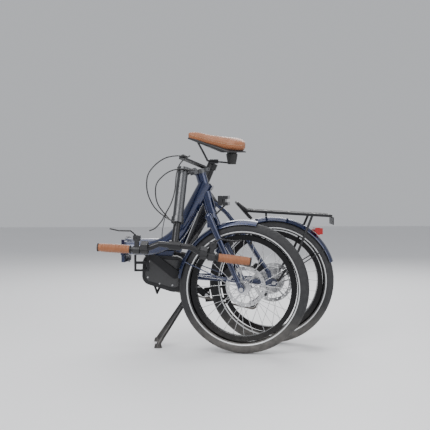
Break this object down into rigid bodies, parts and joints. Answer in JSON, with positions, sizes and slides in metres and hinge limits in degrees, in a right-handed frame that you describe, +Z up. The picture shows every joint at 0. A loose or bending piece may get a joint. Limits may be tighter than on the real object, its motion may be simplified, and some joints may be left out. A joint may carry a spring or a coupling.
{
  "type": "folding bicycle",
  "caption": "Folding bicycle with a centre motor and rear rack, folded at its frame hinge and handlepost, standing on its wheels and kickstand.",
  "frame": {"origin": "on the ground, under the middle of the folded bicycle's box", "axes": "+Z up; the rear half points along -X, with +X to its rear and +Y to its right; the folded front half lies on its left, towards -Y"},
  "size_m": [0.9629, 0.5036, 0.8729],
  "materials": {
    "navy": "deep metallic navy, glossy",
    "black_metal": "satin black",
    "black_plastic": "fine textured black",
    "charcoal": "satin anodised charcoal",
    "steel": "bright steel",
    "alloy": "polished alloy",
    "rim_black": "black anodised",
    "tyre": "matt rubber with a light reflective line",
    "tan_leather": "tan leather, lightly grained",
    "cable": "black cable housing",
    "red_lens": "red lens in a black case"
  },
  "bodies": {
    "rear_frame": {"rear_frame_tube": "navy", "seat_tube": "navy", "chainstays": "navy", "seat_stays": "navy", "hinge_pin": "steel", "motor_housing": "black_plastic", "motor_cover": "black_plastic", "battery": "black_plastic", "foot_bracket": "black_metal", "kickstand_bracket": "black_metal", "rear_fender": "navy", "fender_stays": "black_metal", "rack": "black_metal", "rack_plate": "black_metal", "tail_light": "red_lens", "seat_clamp": "black_metal", "rear_caliper": "black_metal", "derailleur_body": "charcoal", "chain": "steel"},
    "front_frame": {"front_frame_tube": "navy"},
    "frame_latch": {"frame_latch": "black_metal"},
    "fork": {"fork": "navy", "front_fender": "navy", "headlight": "black_plastic", "front_caliper": "black_metal", "handlepost_base": "charcoal"},
    "front_wheel": {"front_tyre": "tyre", "front_rim": "rim_black", "front_spokes": "steel", "front_hub": "alloy", "front_rotor": "steel"},
    "handlepost": {"handlepost": "charcoal", "cables": "cable"},
    "handlepost_lever": {"handlepost_lever": "black_metal"},
    "handlebar": {"handlebar": "black_metal", "grips": "tan_leather", "controls": "black_plastic"},
    "left_brake_lever": {"left_brake_lever": "black_metal"},
    "right_brake_lever": {"right_brake_lever": "black_metal"},
    "rear_wheel": {"rear_tyre": "tyre", "rear_rim": "rim_black", "rear_spokes": "steel", "rear_hub": "alloy", "rear_rotor": "steel"},
    "cassette": {"cassette": "steel"},
    "crank": {"chainring": "charcoal", "left_crank": "black_metal", "right_crank": "black_metal"},
    "left_pedal_axle": {"left_pedal_axle": "steel"},
    "left_pedal": {"left_pedal": "black_metal"},
    "right_pedal_axle": {"right_pedal_axle": "steel"},
    "right_pedal": {"right_pedal": "black_metal"},
    "saddle": {"seatpost": "black_metal", "saddle_clamp": "black_metal", "elastomer": "black_plastic", "saddle_base": "black_plastic", "saddle_cover": "tan_leather"},
    "seat_clamp_lever": {"seat_clamp_lever": "alloy"},
    "kickstand": {"kickstand": "black_metal"},
    "derailleur_cage": {"derailleur_cage": "charcoal"}
  },
  "joints": [
    {"name": "frame_fold", "type": "hinge", "parent": "rear_frame", "child": "front_frame", "pos_m": [-0.37, 0.084, 0.409], "axis": [0, 0, -1], "range_deg": [0, 166.5]},
    {"name": "frame_latch_swing", "type": "hinge", "parent": "front_frame", "child": "frame_latch", "pos_m": [-0.38903, -0.03381, 0.405], "axis": [0, 0, -1], "range_deg": [0, 110]},
    {"name": "steering", "type": "hinge", "parent": "front_frame", "child": "fork", "pos_m": [-0.08042, -0.05443, 0.70592], "axis": [-0.2631, 0.0632, 0.9627], "range_deg": [-6, 6], "deforming": ["cables"]},
    {"name": "front_wheel_spin", "type": "hinge", "parent": "fork", "child": "front_wheel", "pos_m": [0.0879, -0.09484, 0.258], "axis": [-0.2334, -0.9724, 0], "continuous": true},
    {"name": "handlepost_fold", "type": "hinge", "parent": "fork", "child": "handlepost", "pos_m": [-0.11623, -0.0782, 0.71587], "axis": [-0.5806, 0.7866, -0.2103], "range_deg": [0, 153], "deforming": ["cables"]},
    {"name": "handlepost_lever_swing", "type": "hinge", "parent": "fork", "child": "handlepost_lever", "pos_m": [-0.05736, -0.03359, 0.7202], "axis": [-0.5806, 0.7866, -0.2103], "range_deg": [0, 91.8]},
    {"name": "handlepost_slide", "type": "slide", "parent": "handlepost", "child": "handlebar", "axis": [-0.1154, -0.3351, -0.9351], "range_m": [0, 0.09], "deforming": ["cables"]},
    {"name": "left_brake_squeeze", "type": "hinge", "parent": "handlebar", "child": "left_brake_lever", "pos_m": [-0.32858, -0.20108, 0.46569], "axis": [-0.2009, -0.9711, -0.1292], "range_deg": [0, 10], "stiffness_Nm_per_rad": 1},
    {"name": "right_brake_squeeze", "type": "hinge", "parent": "handlebar", "child": "right_brake_lever", "pos_m": [-0.04007, -0.22783, 0.43968], "axis": [0.0058, 0.9891, 0.1468], "range_deg": [0, 10], "stiffness_Nm_per_rad": 1},
    {"name": "rear_wheel_spin", "type": "hinge", "parent": "rear_frame", "child": "rear_wheel", "pos_m": [0.223, 0.151, 0.258], "axis": [0, 1, 0], "continuous": true},
    {"name": "crank_spin", "type": "hinge", "parent": "rear_frame", "child": "crank", "pos_m": [-0.18, 0.151, 0.296], "axis": [0, 1, 0], "continuous": true},
    {"name": "cassette_spin", "type": "hinge", "parent": "rear_frame", "child": "cassette", "pos_m": [0.223, 0.151, 0.258], "axis": [0, 1, 0], "continuous": true},
    {"name": "left_pedal_spin", "type": "hinge", "parent": "crank", "child": "left_pedal_axle", "pos_m": [-0.31396, 0.151, 0.40066], "axis": [0, 1, 0], "range_deg": [-12, 12]},
    {"name": "left_pedal_fold", "type": "hinge", "parent": "left_pedal_axle", "child": "left_pedal", "pos_m": [-0.31396, 0.057, 0.40066], "axis": [-1, 0, 0], "range_deg": [0, 45]},
    {"name": "right_pedal_spin", "type": "hinge", "parent": "crank", "child": "right_pedal_axle", "pos_m": [-0.04604, 0.151, 0.19134], "axis": [0, 1, 0], "continuous": true},
    {"name": "right_pedal_fold", "type": "hinge", "parent": "right_pedal_axle", "child": "right_pedal", "pos_m": [-0.04604, 0.245, 0.19134], "axis": [-0.1219, 0, 0.9925], "range_deg": [0, 90]},
    {"name": "seatpost_slide", "type": "slide", "parent": "rear_frame", "child": "saddle", "axis": [0.3827, 0, 0.9239], "range_m": [0, 0.15]},
    {"name": "seat_clamp_lever_swing", "type": "hinge", "parent": "rear_frame", "child": "seat_clamp_lever", "pos_m": [-0.02895, 0.151, 0.64505], "axis": [0, 1, 0], "range_deg": [0, 60]},
    {"name": "kickstand_swing", "type": "hinge", "parent": "rear_frame", "child": "kickstand", "pos_m": [-0.13, 0.151, 0.19], "axis": [0, -1, 0], "range_deg": [0, 100]},
    {"name": "derailleur_cage_swing", "type": "hinge", "parent": "rear_frame", "child": "derailleur_cage", "pos_m": [0.201, 0.209, 0.203], "axis": [0, 1, 0], "range_deg": [-15, 15], "stiffness_Nm_per_rad": 1, "deforming": ["chain"]}
  ],
  "couplings": [
    {"joint": "cassette_spin", "follows": "crank_spin", "ratio": 2.3},
    {"joint": "handlepost_lever_swing", "follows": "handlepost_fold", "ratio": 0.6}
  ]
}
